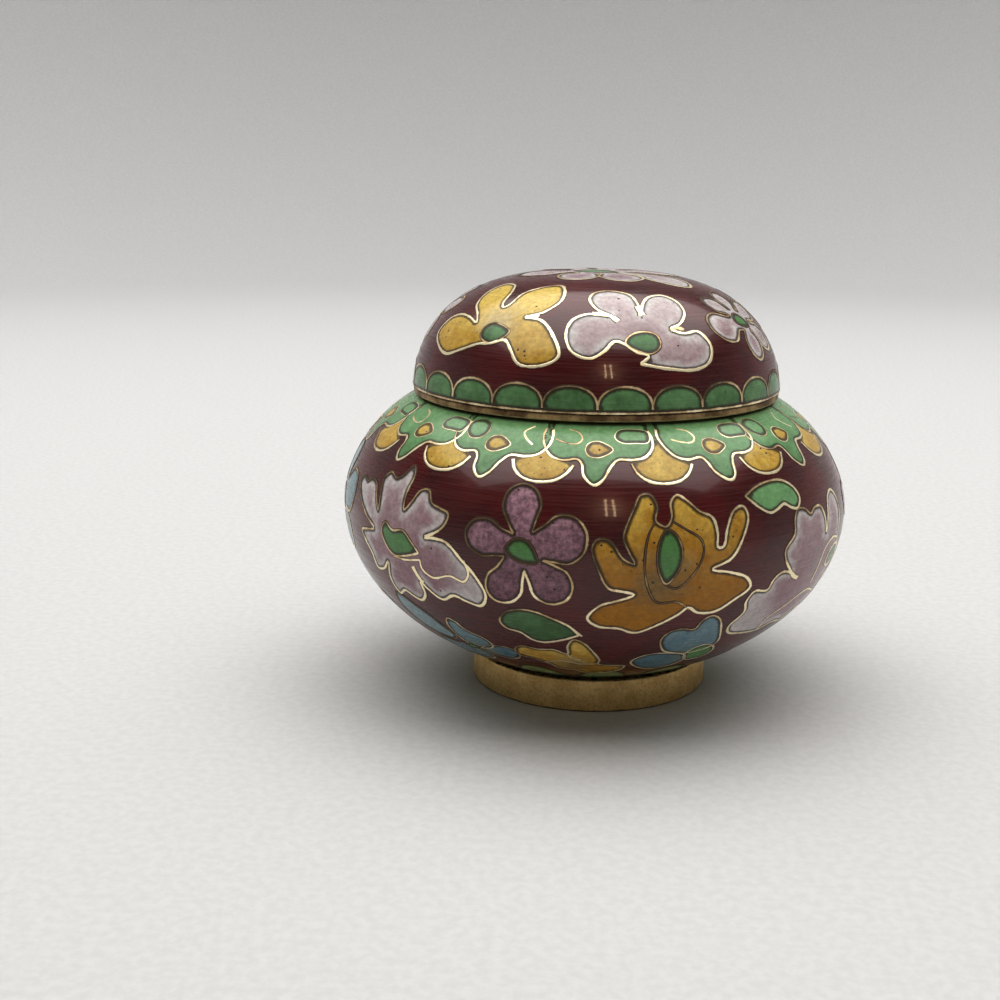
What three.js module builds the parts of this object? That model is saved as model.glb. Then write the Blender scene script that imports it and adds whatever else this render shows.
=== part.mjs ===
// A squat lidded jar of enamelled copper, about 64 mm wide and 53 mm tall: a round vessel on a brass foot
// ring, a brass collar round its mouth, and a domed lid whose brass rim drops over the collar.
// Millimetres, +Z up. The origin is the centre of the foot ring's underside, on the axis of every piece.
import * as THREE from "three";

// Vessel: the outside runs from the foot out to the widest ring and back in to the lid's seat.
const BODY_RADIUS = 32;
const BODY_WALL = 1.3;
const BODY_WIDEST_HEIGHT = 24.3;
const SEAT_HEIGHT = 37.8;
const BELLY_RISE_POWER = 2.15;
const BELLY_SPREAD_POWER = 1.7;
const SHOULDER_RISE_POWER = 1.67;
const SHOULDER_SPREAD_POWER = 3.7;

// Foot ring: it is soldered under the vessel's flat base and stands a little proud of it all round.
const FOOT_RADIUS = 15.3;
const FOOT_WALL = 2;
const FOOT_HEIGHT = 4.1;
const FOOT_LEDGE = 1.3;
const FOOT_CHAMFER = 0.25;

// Mouth, collar and the flat seat that the lid rests on.
const MOUTH_RADIUS = 19.2;
const COLLAR_WALL = 1.2;
const COLLAR_HEIGHT = 3.4;
const COLLAR_CHAMFER = 0.3;
const LID_CLEARANCE = 0.5;
const SEAT_WIDTH = 1;

// Lid and its rim.
const RIM_WIDTH = 2.2;
const RIM_HEIGHT = 0.9;
const RIM_CHAMFER = 0.3;
const LID_OVERHANG = 0.1;
const LID_WALL = 1.2;
const LID_RISE = 14.2;
const LID_RISE_POWER = 1.87;
const LID_SPREAD_POWER = 3.1;

// Facets round the axis and along each curve.
const TURN_STEPS = 64;
const BELLY_STEPS = 9;
const SHOULDER_STEPS = 7;
const DOME_STEPS = 10;

// Sizes that follow from the ones above.
const baseRadius = FOOT_RADIUS - FOOT_LEDGE;
const floorHeight = FOOT_HEIGHT + BODY_WALL;
const collarRadius = MOUTH_RADIUS + COLLAR_WALL;
const rimInnerRadius = collarRadius + LID_CLEARANCE;
const seatRadius = rimInnerRadius + SEAT_WIDTH;
const rimRadius = rimInnerRadius + RIM_WIDTH;
const lidRadius = rimRadius + LID_OVERHANG;
const lidBase = SEAT_HEIGHT + RIM_HEIGHT;

const point = (radius, height) => new THREE.Vector2(radius, height);

// Share of its full rise that a curve has reached where it has come in to this share of its full radius.
function riseAt(radiusShare, risePower, spreadPower) {
  return (1 - radiusShare ** spreadPower) ** (1 / risePower);
}

// A superelliptic arc in the radius-height plane, from its widest point to where it meets `endRadius`.
// It starts at (radius, level), and `rise` is how far from that level it would be on the axis.
function arc({ radius, level, rise, risePower, spreadPower, endRadius, steps }) {
  const endTurn = Math.acos((endRadius / radius) ** (spreadPower / 2));
  return Array.from({ length: steps + 1 }, (_, i) => {
    const turn = (endTurn * i) / steps;
    const across = i === steps ? endRadius : radius * Math.cos(turn) ** (2 / spreadPower);
    return point(across, level + rise * Math.sin(turn) ** (2 / risePower));
  });
}

// An arc that starts at (radius, level) and ends exactly at (endRadius, endLevel).
function arcTo({ endLevel, ...shape }) {
  const reached = riseAt(shape.endRadius / shape.radius, shape.risePower, shape.spreadPower);
  return arc({ ...shape, rise: (endLevel - shape.level) / reached });
}

// A solid of revolution about +Z from its outline, given anticlockwise with the radius to the right.
function revolved(name, outline, material) {
  const geometry = new THREE.LatheGeometry(outline, TURN_STEPS).rotateX(Math.PI / 2);
  const mesh = new THREE.Mesh(geometry, material);
  mesh.name = name;
  return mesh;
}

// A ring's outline: four corners, the outer ones chamfered where a chamfer is given.
function ringOutline({ inner, outer, low, high, lowChamfer = 0, highChamfer = 0 }) {
  const lowCorner = lowChamfer
    ? [point(outer - lowChamfer, low), point(outer, low + lowChamfer)]
    : [point(outer, low)];
  const highCorner = highChamfer
    ? [point(outer, high - highChamfer), point(outer - highChamfer, high)]
    : [point(outer, high)];
  return [point(inner, low), ...lowCorner, ...highCorner, point(inner, high), point(inner, low)];
}

function vesselOutline() {
  const belly = {
    level: BODY_WIDEST_HEIGHT,
    risePower: BELLY_RISE_POWER,
    spreadPower: BELLY_SPREAD_POWER,
    steps: BELLY_STEPS,
  };
  const shoulder = {
    level: BODY_WIDEST_HEIGHT,
    risePower: SHOULDER_RISE_POWER,
    spreadPower: SHOULDER_SPREAD_POWER,
    steps: SHOULDER_STEPS,
  };
  const innerRadius = BODY_RADIUS - BODY_WALL;
  const outside = [
    ...arcTo({ ...belly, radius: BODY_RADIUS, endRadius: baseRadius, endLevel: FOOT_HEIGHT }).reverse(),
    ...arcTo({ ...shoulder, radius: BODY_RADIUS, endRadius: seatRadius, endLevel: SEAT_HEIGHT }).slice(1),
  ];
  const inside = [
    ...arcTo({
      ...shoulder,
      radius: innerRadius,
      endRadius: MOUTH_RADIUS,
      endLevel: SEAT_HEIGHT - BODY_WALL,
    }).reverse(),
    ...arcTo({ ...belly, radius: innerRadius, endRadius: baseRadius, endLevel: floorHeight }).slice(1),
  ];
  return [point(0, FOOT_HEIGHT), ...outside, point(MOUTH_RADIUS, SEAT_HEIGHT), ...inside, point(0, floorHeight)];
}

function lidOutline() {
  const dome = {
    level: lidBase,
    risePower: LID_RISE_POWER,
    spreadPower: LID_SPREAD_POWER,
    endRadius: 0,
    steps: DOME_STEPS,
  };
  return [
    ...arc({ ...dome, radius: lidRadius, rise: LID_RISE }),
    ...arc({ ...dome, radius: lidRadius - LID_WALL, rise: LID_RISE - LID_WALL }).reverse(),
    point(lidRadius, lidBase),
  ];
}

const enamel = new THREE.MeshStandardMaterial({ color: 0x4a1113, roughness: 0.22, metalness: 0 });
const brass = new THREE.MeshStandardMaterial({ color: 0xb8974c, roughness: 0.38, metalness: 1 });

const jar = new THREE.Group();
jar.add(
  revolved("vessel", vesselOutline(), enamel),
  revolved(
    "foot_ring",
    ringOutline({
      inner: FOOT_RADIUS - FOOT_WALL,
      outer: FOOT_RADIUS,
      low: 0,
      high: FOOT_HEIGHT,
      lowChamfer: FOOT_CHAMFER,
      highChamfer: FOOT_CHAMFER,
    }),
    brass,
  ),
  revolved(
    "neck_collar",
    ringOutline({
      inner: MOUTH_RADIUS,
      outer: collarRadius,
      low: SEAT_HEIGHT,
      high: SEAT_HEIGHT + COLLAR_HEIGHT,
      highChamfer: COLLAR_CHAMFER,
    }),
    brass,
  ),
  revolved(
    "lid_rim",
    ringOutline({
      inner: rimInnerRadius,
      outer: rimRadius,
      low: SEAT_HEIGHT,
      high: lidBase,
      lowChamfer: RIM_CHAMFER,
    }),
    brass,
  ),
  revolved("lid", lidOutline(), enamel),
);

export default jar;
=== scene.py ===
import math
import bpy
import numpy as np
from mathutils import Matrix, Vector, geometry, noise


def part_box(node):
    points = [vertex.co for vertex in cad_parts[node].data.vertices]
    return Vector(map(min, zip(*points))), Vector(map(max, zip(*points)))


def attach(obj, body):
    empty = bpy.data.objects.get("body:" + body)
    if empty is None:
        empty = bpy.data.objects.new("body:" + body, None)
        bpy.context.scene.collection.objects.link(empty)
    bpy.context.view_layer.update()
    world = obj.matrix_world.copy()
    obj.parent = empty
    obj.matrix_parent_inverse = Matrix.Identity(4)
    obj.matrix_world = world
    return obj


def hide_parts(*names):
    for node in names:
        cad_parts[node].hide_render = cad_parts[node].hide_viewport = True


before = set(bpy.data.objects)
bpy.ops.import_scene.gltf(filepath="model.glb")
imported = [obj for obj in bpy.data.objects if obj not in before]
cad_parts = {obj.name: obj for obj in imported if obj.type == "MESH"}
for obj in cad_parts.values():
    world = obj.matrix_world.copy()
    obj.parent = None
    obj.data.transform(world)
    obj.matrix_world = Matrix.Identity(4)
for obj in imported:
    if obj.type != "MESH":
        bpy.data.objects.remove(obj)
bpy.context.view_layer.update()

MILLIMETRE = 0.001
BODY = "root"


def corners(node):
    """Lowest and highest corner of a CAD node, in millimetres."""
    low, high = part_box(node)
    return np.array(low) / MILLIMETRE, np.array(high) / MILLIMETRE


# Sizes that the frame gives.
(_, _, FOOT_HEIGHT), (BODY_RADIUS, _, SEAT_HEIGHT) = corners("vessel")
FOOT_RADIUS = corners("foot_ring")[1][0]
COLLAR_RADIUS, _, COLLAR_TOP = corners("neck_collar")[1]
RIM_RADIUS = corners("lid_rim")[1][0]
(_, _, LID_BASE), (LID_RADIUS, _, LID_TOP) = corners("lid")

# Sizes and curve powers that the solids are built from.
BODY_WALL = 1.3
BODY_WIDEST_HEIGHT = 24.3
BELLY_POWERS = (2.15, 1.7)
SHOULDER_POWERS = (1.67, 3.7)
FOOT_LEDGE = 1.3
FOOT_WALL = 2.0
COLLAR_WALL = 1.2
LID_CLEARANCE = 0.5
SEAT_WIDTH = 1.0
LID_WALL = 1.2
DOME_POWERS = (1.87, 3.1)
BASE_RADIUS = FOOT_RADIUS - FOOT_LEDGE
MOUTH_RADIUS = COLLAR_RADIUS - COLLAR_WALL
RIM_INNER_RADIUS = COLLAR_RADIUS + LID_CLEARANCE
SEAT_RADIUS = RIM_INNER_RADIUS + SEAT_WIDTH

# Fillets of the brass rings' edges.
FOOT_FILLET = 0.22
THIN_FILLET = 0.25

# Fineness of the meshes.
TURN_STEPS = 288
CURVE_STEPS = 72
LINE_SPACING = 0.28
FILL_SPACING = 0.6

# Wire and enamel cells. The last constant here is painted shade: how much deeper in colour a cell gets for
# each millimetre down.
WIRE_WIDTH = 0.44
FINE_WIRE = 0.36
WIRE_RISE = 0.045
WIRE_DEPTH = 0.08
CELL_DEPTH = 0.06
CELL_RISE = 0.014
PAINTED_SHADE_DOWN = 0.05

# Across a wire: share of its half width, and how far off the wall.
WIRE_SECTION = (
    (-1, -WIRE_DEPTH), (-0.96, 0.02), (-0.55, WIRE_RISE), (0, 1.1 * WIRE_RISE), (0.55, WIRE_RISE),
    (0.96, 0.02), (1, -WIRE_DEPTH),
)

# How much brighter a motif's wires are for each millimetre to its right and down.
WIRE_BRIGHTER_RIGHT = 0.02
WIRE_BRIGHTER_DOWN = 0.04


def superellipse(radius, level, rise, powers, end_radius):
    """Points (radius, height) from the widest place in to end_radius; rise is the height at the axis."""
    rise_power, spread_power = powers
    last = math.acos((end_radius / radius) ** (spread_power / 2))
    turns = np.linspace(0, last, CURVE_STEPS + 1)
    across = radius * np.cos(turns) ** (2 / spread_power)
    across[-1] = end_radius
    return np.column_stack([across, level + rise * np.sin(turns) ** (2 / rise_power)])


def superellipse_to(radius, level, end_radius, end_level, powers):
    """The same, but ending exactly at (end_radius, end_level)."""
    reached = (1 - (end_radius / radius) ** powers[1]) ** (1 / powers[0])
    return superellipse(radius, level, (end_level - level) / reached, powers, end_radius)


def body_side(radius, foot_level, seat_radius, seat_level):
    """One side of the vessel's wall, from its base up to the mouth."""
    belly = superellipse_to(radius, BODY_WIDEST_HEIGHT, BASE_RADIUS, foot_level, BELLY_POWERS)
    shoulder = superellipse_to(radius, BODY_WIDEST_HEIGHT, seat_radius, seat_level, SHOULDER_POWERS)
    return np.vstack([belly[::-1], shoulder[1:]])


def dome_side(radius, rise):
    """One side of the lid's wall, from its edge up to the axis."""
    return superellipse(radius, LID_BASE, rise, DOME_POWERS, 0.0)


class Wall:
    """The outside of a revolved piece, on which motifs are laid."""

    def __init__(self, profile):
        self.radii, self.heights = profile.T
        pieces = np.hypot(np.diff(self.radii), np.diff(self.heights))
        self.lengths = np.concatenate([[0], np.cumsum(pieces)])
        self.total = self.lengths[-1]
        self.out = np.gradient(self.heights, self.lengths)
        self.up = -np.gradient(self.radii, self.lengths)

    def radius_at(self, length):
        return np.interp(length, self.lengths, self.radii)

    def place(self, turns, lengths, lift):
        """Points at these turns (radians) and lengths, lifted off the wall, and the lengths themselves."""
        out = np.interp(lengths, self.lengths, self.out)
        up = np.interp(lengths, self.lengths, self.up)
        size = np.hypot(out, up)
        radii = self.radius_at(lengths) + lift * out / size
        heights = np.interp(lengths, self.lengths, self.heights) + lift * up / size
        return np.column_stack([radii * np.sin(turns), -radii * np.cos(turns), heights]), lengths


def on_wall(wall, turn, along, mirrored=False):
    """A function that lays flat points on the wall about a centre."""
    sign = -1 if mirrored else 1

    def lay(flat, lift):
        lengths = np.clip(along + flat[:, 1], 0, wall.total)
        return wall.place(math.radians(turn) + sign * flat[:, 0] / wall.radius_at(lengths), lengths, lift)

    return lay


def on_crown(wall):
    """A function that lays flat points round the pole of the lid."""

    def lay(flat, lift):
        reach = np.hypot(flat[:, 0], flat[:, 1])
        return wall.place(np.arctan2(flat[:, 0], -flat[:, 1]), wall.total - reach, lift)

    return lay


# Lines and outlines.


def polar(direction, reach=1.0):
    """The flat point at a direction in degrees and a reach from the origin."""
    return reach * math.cos(math.radians(direction)), reach * math.sin(math.radians(direction))


def smooth(points, closed=True):
    """A centripetal Catmull-Rom curve through the points, sampled evenly. A point given twice is a corner."""
    points = np.array(points, float)
    if closed:
        ring = np.vstack([points[-1], points, points[:2]])
    else:
        ring = np.vstack([2 * points[0] - points[1], points, 2 * points[-1] - points[-2]])
    knots = np.maximum(np.linalg.norm(np.diff(ring, axis=0), axis=1), 0.02) ** 0.5
    curve = []
    for i in range(1, len(ring) - 2):
        t0 = 0.0
        t1 = t0 + knots[i - 1]
        t2 = t1 + knots[i]
        t3 = t2 + knots[i + 1]
        t = np.linspace(t1, t2, 12, endpoint=False)[:, None]
        a, b, c, d = ring[i - 1], ring[i], ring[i + 1], ring[i + 2]
        ab = (t1 - t) / (t1 - t0) * a + (t - t0) / (t1 - t0) * b
        bc = (t2 - t) / (t2 - t1) * b + (t - t1) / (t2 - t1) * c
        cd = (t3 - t) / (t3 - t2) * c + (t - t2) / (t3 - t2) * d
        abc = (t2 - t) / (t2 - t0) * ab + (t - t0) / (t2 - t0) * bc
        bcd = (t3 - t) / (t3 - t1) * bc + (t - t1) / (t3 - t1) * cd
        curve.append((t2 - t) / (t2 - t1) * abc + (t - t1) / (t2 - t1) * bcd)
    return evenly(np.vstack(curve + [ring[-2:-1]]), closed)


def evenly(curve, closed):
    """The same line with points an even distance apart. A closed line doesn't repeat its first point."""
    lengths = np.concatenate([[0], np.cumsum(np.linalg.norm(np.diff(curve, axis=0), axis=1))])
    count = max(int(round(lengths[-1] / LINE_SPACING)), 4)
    places = np.linspace(0, lengths[-1], count + 1)[: count if closed else None]
    return np.column_stack([np.interp(places, lengths, curve[:, i]) for i in (0, 1)])


def evenly_ring(ring):
    return evenly(np.vstack([ring, ring[:1]]), True)


def ellipse(centre, half_width, half_height, lean, steps=24):
    """A closed ellipse leaning by an angle in degrees."""
    turns = np.linspace(0, 2 * np.pi, steps, endpoint=False)
    flat = np.column_stack([half_width * np.cos(turns), half_height * np.sin(turns)])
    c, s = polar(lean)
    return evenly_ring(flat @ np.array([[c, s], [-s, c]]) + np.array(centre))


def petalled(petals, notches, waist):
    """An outline of round petals about the origin, in turn anticlockwise, with a sharp notch after each.
    A petal is (direction in degrees, reach, length, width); a notch is (direction, reach). The waist is
    how far round its own oval a petal goes, in degrees each way, before it runs in to the notch."""
    outline = []
    for (direction, reach, length, width), notch in zip(petals, notches):
        c, s = polar(direction)
        for around in (-waist, -92, -46, 0, 46, 92, waist):
            ahead, aside = polar(around)
            along = reach - length / 2 + length / 2 * ahead
            side = width / 2 * aside
            outline.append((along * c - side * s, along * s + side * c))
        outline += [polar(*notch)] * 2
    return smooth(outline)


def halfway(petals, depth):
    """Notches halfway between petals."""
    following = petals[1:] + petals[:1]
    return [(petal[0] + (after[0] - petal[0]) % 360 / 2, depth) for petal, after in zip(petals, following)]


# Meshes.


def add_object(name, data):
    made = bpy.data.objects.new(name, data)
    bpy.context.scene.collection.objects.link(made)
    return made


class Bundle:
    """Meshes of one material, gathered into one piece, with a value for each point under each name."""

    def __init__(self):
        self.points, self.faces, self.values, self.count = [], [], {}, 0

    def add(self, points, faces, **values):
        self.points.append(points)
        self.faces += [[int(i) + self.count for i in face] for face in faces]
        for name, value in values.items():
            self.values.setdefault(name, []).append(np.broadcast_to(value, len(points)))
        self.count += len(points)

    def build(self, name, materials, slot, face_materials=None, sharp_angle=40):
        """Makes the piece, smooth but for edges sharper than the angle, and lets it ride on the jar."""
        mesh = bpy.data.meshes.new(name)
        mesh.from_pydata((np.vstack(self.points) * MILLIMETRE).tolist(), [], self.faces)
        for key, parts in self.values.items():
            attribute = mesh.attributes.new(key, "FLOAT", "POINT")
            attribute.data.foreach_set("value", np.concatenate(parts).astype(np.float32))
        for material in materials:
            mesh.materials.append(material)
        if face_materials is not None:
            mesh.polygons.foreach_set("material_index", face_materials)
        mesh.shade_smooth()
        mesh.set_sharp_from_angle(angle=math.radians(sharp_angle))
        mesh.validate()
        piece = add_object(name, mesh)
        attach(piece, BODY)
        return piece


def inside(points, outline):
    """Whether each point is inside a closed outline."""
    a, b = outline, np.roll(outline, -1, axis=0)
    above_a = a[None, :, 1] > points[:, None, 1]
    above_b = b[None, :, 1] > points[:, None, 1]
    rise = np.where(b[:, 1] == a[:, 1], 1e-12, b[:, 1] - a[:, 1])
    crossing = a[:, 0] + (points[:, None, 1] - a[:, 1]) / rise * (b[:, 0] - a[:, 0])
    hits = (above_a != above_b) & (points[:, None, 0] < crossing)
    return hits.sum(1) % 2 == 1


def distance_to(points, outline):
    """Distance of each point from a closed outline."""
    a, b = outline, np.roll(outline, -1, axis=0)
    run = b - a
    share = ((points[:, None] - a) * run).sum(2) / np.maximum((run * run).sum(1), 1e-12)
    nearest = a + np.clip(share, 0, 1)[..., None] * run
    return np.linalg.norm(points[:, None] - nearest, axis=2).min(1)


def filled(outline):
    """Triangles that fill an outline finely enough to follow the wall: (points, faces)."""
    low, high = outline.min(0), outline.max(0)
    columns = np.arange(low[0], high[0], FILL_SPACING)
    rows = np.arange(low[1], high[1], FILL_SPACING * math.sqrt(0.75))
    grid = np.array([(x + (j % 2) * FILL_SPACING / 2, y) for j, y in enumerate(rows) for x in columns])
    grid = grid[inside(grid, outline)]
    grid = grid[distance_to(grid, outline) > FILL_SPACING / 2]
    ring = [(i, (i + 1) % len(outline)) for i in range(len(outline))]
    everything = [Vector(p) for p in np.vstack([outline, grid])]
    points, _, faces, *_ = geometry.delaunay_2d_cdt(everything, ring, [], 1, 1e-5, False)
    points = np.array([tuple(p) for p in points])
    kept = inside(np.array([points[list(face)].mean(0) for face in faces]), outline)
    return points, [list(face) for face, keep in zip(faces, kept) if keep]


def add_cell(bundle, lay, outline, layer, heart, shade, spread):
    """A thin tile of enamel that fills an outline: a closed solid sunk in the wall and a hair proud of it.
    Its heart's colour reaches further by the spread."""
    flat, faces = filled(outline)
    top, lengths = lay(flat, CELL_RISE * layer)
    bottom, _ = lay(flat, -CELL_DEPTH)
    count = len(flat)
    sides = dict.fromkeys((a, b) for face in faces for a, b in zip(face, face[1:] + face[:1]))
    under = [[i + count for i in reversed(face)] for face in faces]
    skirt = [[b, a, a + count, b + count] for a, b in sides if (b, a) not in sides]
    bundle.add(
        np.vstack([top, bottom]),
        faces + under + skirt,
        edge=np.tile(distance_to(flat, outline), 2),
        reach=np.tile(np.linalg.norm(flat - np.array(heart), axis=1) / spread, 2),
        along=np.tile(lengths, 2),
        # The shade value is deepened lower in the cell: painted shade.
        shade=np.tile(shade - PAINTED_SHADE_DOWN * flat[:, 1], 2),
    )


def add_wire(bundle, lay, line, closed=True, width=WIRE_WIDTH, polish=0.6):
    """A flat wire set on edge along a line, a little uneven in its width as hand-bent and ground wire is.
    Its sides are dark, and a wire of low polish is tarnished all over."""
    polish = polish + WIRE_BRIGHTER_RIGHT * line[:, 0] - WIRE_BRIGHTER_DOWN * line[:, 1]
    if closed:
        run = np.roll(line, -1, axis=0) - np.roll(line, 1, axis=0)
    else:
        run = np.gradient(line, axis=0)
    run /= np.maximum(np.linalg.norm(run, axis=1), 1e-9)[:, None]
    side = np.column_stack([-run[:, 1], run[:, 0]])
    middle, lengths = lay(line, 0)
    uneven = np.array([noise.noise(Vector(p) * 1.1) + 0.6 * noise.noise(Vector(p) * 3.1) for p in middle])
    half = width / 2 * (1 + 0.3 * uneven) * (0.9 + 0.25 * np.clip(polish, 0, 1))
    rings = [lay(line + side * (half * share)[:, None], lift)[0] for share, lift in WIRE_SECTION]
    count, across = len(line), len(WIRE_SECTION)
    faces = []
    for i in range(count if closed else count - 1):
        near, far = i * across, (i + 1) % count * across
        for k in range(across):
            m = (k + 1) % across
            faces.append([near + k, far + k, far + m, near + m])
    if not closed:
        faces.append(list(range(across)))
        faces.append([(count - 1) * across + k for k in reversed(range(across))])
    bundle.add(
        np.stack(rings, 1).reshape(-1, 3),
        faces,
        flank=np.tile([abs(share) for share, _ in WIRE_SECTION], count),
        along=np.repeat(lengths, across),
        polish=np.repeat(polish, across),
    )


def revolved(bundle, profile, closed=False):
    """Adds a solid of revolution, and returns the segment of the profile that each face comes from.
    The profile runs axis to axis, or round a ring if closed."""
    profile = np.array(profile, float)
    turns = np.linspace(0, 2 * np.pi, TURN_STEPS, endpoint=False)
    lengths = np.concatenate([[0], np.cumsum(np.hypot(*np.diff(profile, axis=0).T))])
    around = np.column_stack([np.sin(turns), -np.cos(turns)])
    rings, starts = [], [0]
    for radius, height in profile:
        ring = np.zeros((1, 2)) if radius < 1e-6 else around * radius
        rings.append(np.column_stack([ring, np.full(len(ring), height)]))
        starts.append(starts[-1] + len(ring))
    faces, segments = [], []
    for i in range(len(profile) if closed else len(profile) - 1):
        j = (i + 1) % len(profile)
        for k in range(TURN_STEPS):
            m = (k + 1) % TURN_STEPS
            lower = [starts[i]] if len(rings[i]) == 1 else [starts[i] + k, starts[i] + m]
            upper = [starts[j]] if len(rings[j]) == 1 else [starts[j] + m, starts[j] + k]
            faces.append(lower + upper)
            segments.append(i)
    bundle.add(np.vstack(rings), faces, along=np.repeat(lengths, [len(ring) for ring in rings]))
    return segments


def rounded(corner_points, radius, steps=5):
    """A closed ring profile with each corner turned into a small arc."""
    points = np.array(corner_points, float)
    outline = []
    for i, corner in enumerate(points):
        before = points[i - 1] - corner
        after = points[(i + 1) % len(points)] - corner
        before, after = before / np.linalg.norm(before), after / np.linalg.norm(after)
        centre = corner + (before + after) * radius
        for step in range(steps + 1):
            turn = math.pi / 2 * step / steps
            outline.append(centre - before * radius * math.sin(turn) - after * radius * math.cos(turn))
    return outline


# Materials.


class Look:
    """A material under construction: its node tree and its main shader."""

    def __init__(self, name):
        self.material = bpy.data.materials.new(name)
        self.material.use_nodes = True
        self.tree = self.material.node_tree
        self.shader = self.tree.nodes["Principled BSDF"]

    def feed(self, socket, value):
        """Links a value to a socket, or sets it there. A colour is set opaque."""
        if isinstance(value, bpy.types.NodeSocket):
            self.tree.links.new(value, socket)
        elif socket.type == "RGBA":
            socket.default_value = (*value, 1.0)
        else:
            socket.default_value = value

    def node(self, kind, inputs=(), **settings):
        made = self.tree.nodes.new(kind)
        for key, value in settings.items():
            setattr(made, key, value)
        for key, value in dict(inputs).items():
            self.feed(made.inputs[key], value)
        return made

    def set(self, **inputs):
        """Feeds the shader's inputs, whose names have a space for each underscore here."""
        for name, value in inputs.items():
            self.feed(self.shader.inputs[name.replace("_", " ")], value)

    def value(self, name):
        return self.node("ShaderNodeAttribute", attribute_name=name).outputs["Fac"]

    def place(self, scale=(1, 1, 1)):
        """The place on the piece in millimetres, stretched by a scale."""
        place = self.node("ShaderNodeTexCoord").outputs["Object"]
        scale = [s / MILLIMETRE for s in scale]
        return self.node("ShaderNodeMapping", {"Vector": place, "Scale": scale}).outputs["Vector"]

    def noise(self, place, scale, detail=3.0, rough=0.55):
        inputs = {"Vector": place, "Scale": scale, "Detail": detail, "Roughness": rough}
        return self.node("ShaderNodeTexNoise", inputs).outputs["Fac"]

    def between(self, value, low, high, out_low=0.0, out_high=1.0):
        inputs = {0: value, 1: low, 2: high, 3: out_low, 4: out_high}
        return self.node("ShaderNodeMapRange", inputs, interpolation_type="SMOOTHSTEP").outputs[0]

    def maths(self, operation, *values):
        return self.node("ShaderNodeMath", dict(enumerate(values)), operation=operation).outputs[0]

    def mix(self, share, a, b, blend="MIX"):
        """Two colours mixed. The node's sockets for other kinds of data are off."""
        made = self.node("ShaderNodeMix", data_type="RGBA", blend_type=blend)
        sockets = {socket.name: socket for socket in made.inputs if socket.enabled}
        for name, value in (("Factor", share), ("A", a), ("B", b)):
            self.feed(sockets[name], value)
        return [socket for socket in made.outputs if socket.enabled][0]

    def bump(self, height, distance, normal=None):
        inputs = {"Height": height, "Distance": distance * MILLIMETRE}
        if normal is not None:
            inputs["Normal"] = normal
        return self.node("ShaderNodeBump", inputs).outputs["Normal"]


def streaked_place(look, across=0.12, along=7.0):
    """A place that changes fast along the wall and slowly round it, as polishing lines do."""
    flat = look.place((across, across, 0))
    up = look.maths("MULTIPLY", look.value("along"), along)
    up = look.node("ShaderNodeCombineXYZ", {"Z": up}).outputs[0]
    return look.node("ShaderNodeVectorMath", {0: flat, 1: up}, operation="ADD").outputs[0]


def pitted(look, share, scale=0.7):
    """1 in the small open bubbles of the enamel and 0 elsewhere."""
    place = look.place()
    near = look.node("ShaderNodeTexVoronoi", {"Vector": place, "Scale": scale, "Randomness": 1.0})
    holes = look.between(near.outputs["Distance"], 0.07, 0.12, 1.0, 0.0)
    rare = look.between(look.noise(place, 0.45, 2.0), share, share + 0.08)
    return look.maths("MULTIPLY", holes, rare)


def enamel(name, pale, deep, heart, reach, grain, pits, rim=None, tips=None, deep_heart=None):
    """Coloured enamel between a pale and a deep shade, with its heart's colour near the heart; grainy, pitted
    and dark along the wires. A rim colour shows in ragged patches along the outline and beyond the tips'
    distances from the heart."""
    look = Look(name)
    place = look.place()
    low, high = reach
    cloud = look.noise(place, 0.5, 3.0)
    # The shade value holds each cell's own depth of colour and the painted shade that deepens it lower down.
    depth = look.maths("ADD", look.value("shade"), look.maths("MULTIPLY_ADD", cloud, 0.8, -0.4))
    base = look.mix(look.between(depth, 0.0, 1.0), pale, deep)
    out = look.maths("MULTIPLY_ADD", cloud, 3.0, look.value("reach"))
    middle = look.mix(look.between(depth, 0.2, 0.8), heart, deep_heart or heart)
    base = look.mix(look.between(out, low + 1.5, high + 1.5, 0.85, 0.0), base, middle)
    if rim is not None:
        edge = look.maths("MULTIPLY_ADD", look.noise(place, 0.7), 2.6, look.value("edge"))
        base = look.mix(look.between(edge, 1.5, 2.9, 0.85, 0.0), base, rim)
        base = look.mix(look.between(out, tips[0] + 1.5, tips[1] + 1.5, 0.0, 0.7), base, rim)
    fine = look.between(look.noise(place, 1.7, 6.0, 0.7), 0.3, 0.7, 1 - grain, 1 + grain)
    grains = look.node("ShaderNodeCombineColor", {0: fine, 1: fine, 2: fine}).outputs[0]
    base = look.mix(1.0, base, grains, "MULTIPLY")
    scratch = look.noise(streaked_place(look), 1.0, 4.0, 0.7)
    base = look.mix(look.between(scratch, 0.55, 0.8, 0.0, 0.2), base, (0.05, 0.04, 0.03))
    ragged = look.maths("MULTIPLY_ADD", look.noise(place, 3.0), -0.2, look.value("edge"))
    dirt = look.between(ragged, 0.16, 0.46, 0.85, 0.0)
    base = look.mix(dirt, base, (0.035, 0.022, 0.012))
    hole = look.maths("MAXIMUM", pitted(look, pits), pitted(look, pits + 0.1, 1.6))
    base = look.mix(hole, base, (0.03, 0.018, 0.01))
    relief = look.maths("SUBTRACT", look.maths("MULTIPLY", fine, 0.1), hole)
    look.set(
        Base_Color=base,
        Roughness=look.between(scratch, 0.3, 0.8, 0.12, 0.36),
        Normal=look.bump(scratch, 0.006, look.bump(relief, 0.03)),
        IOR=1.5,
    )
    return look.material


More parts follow.
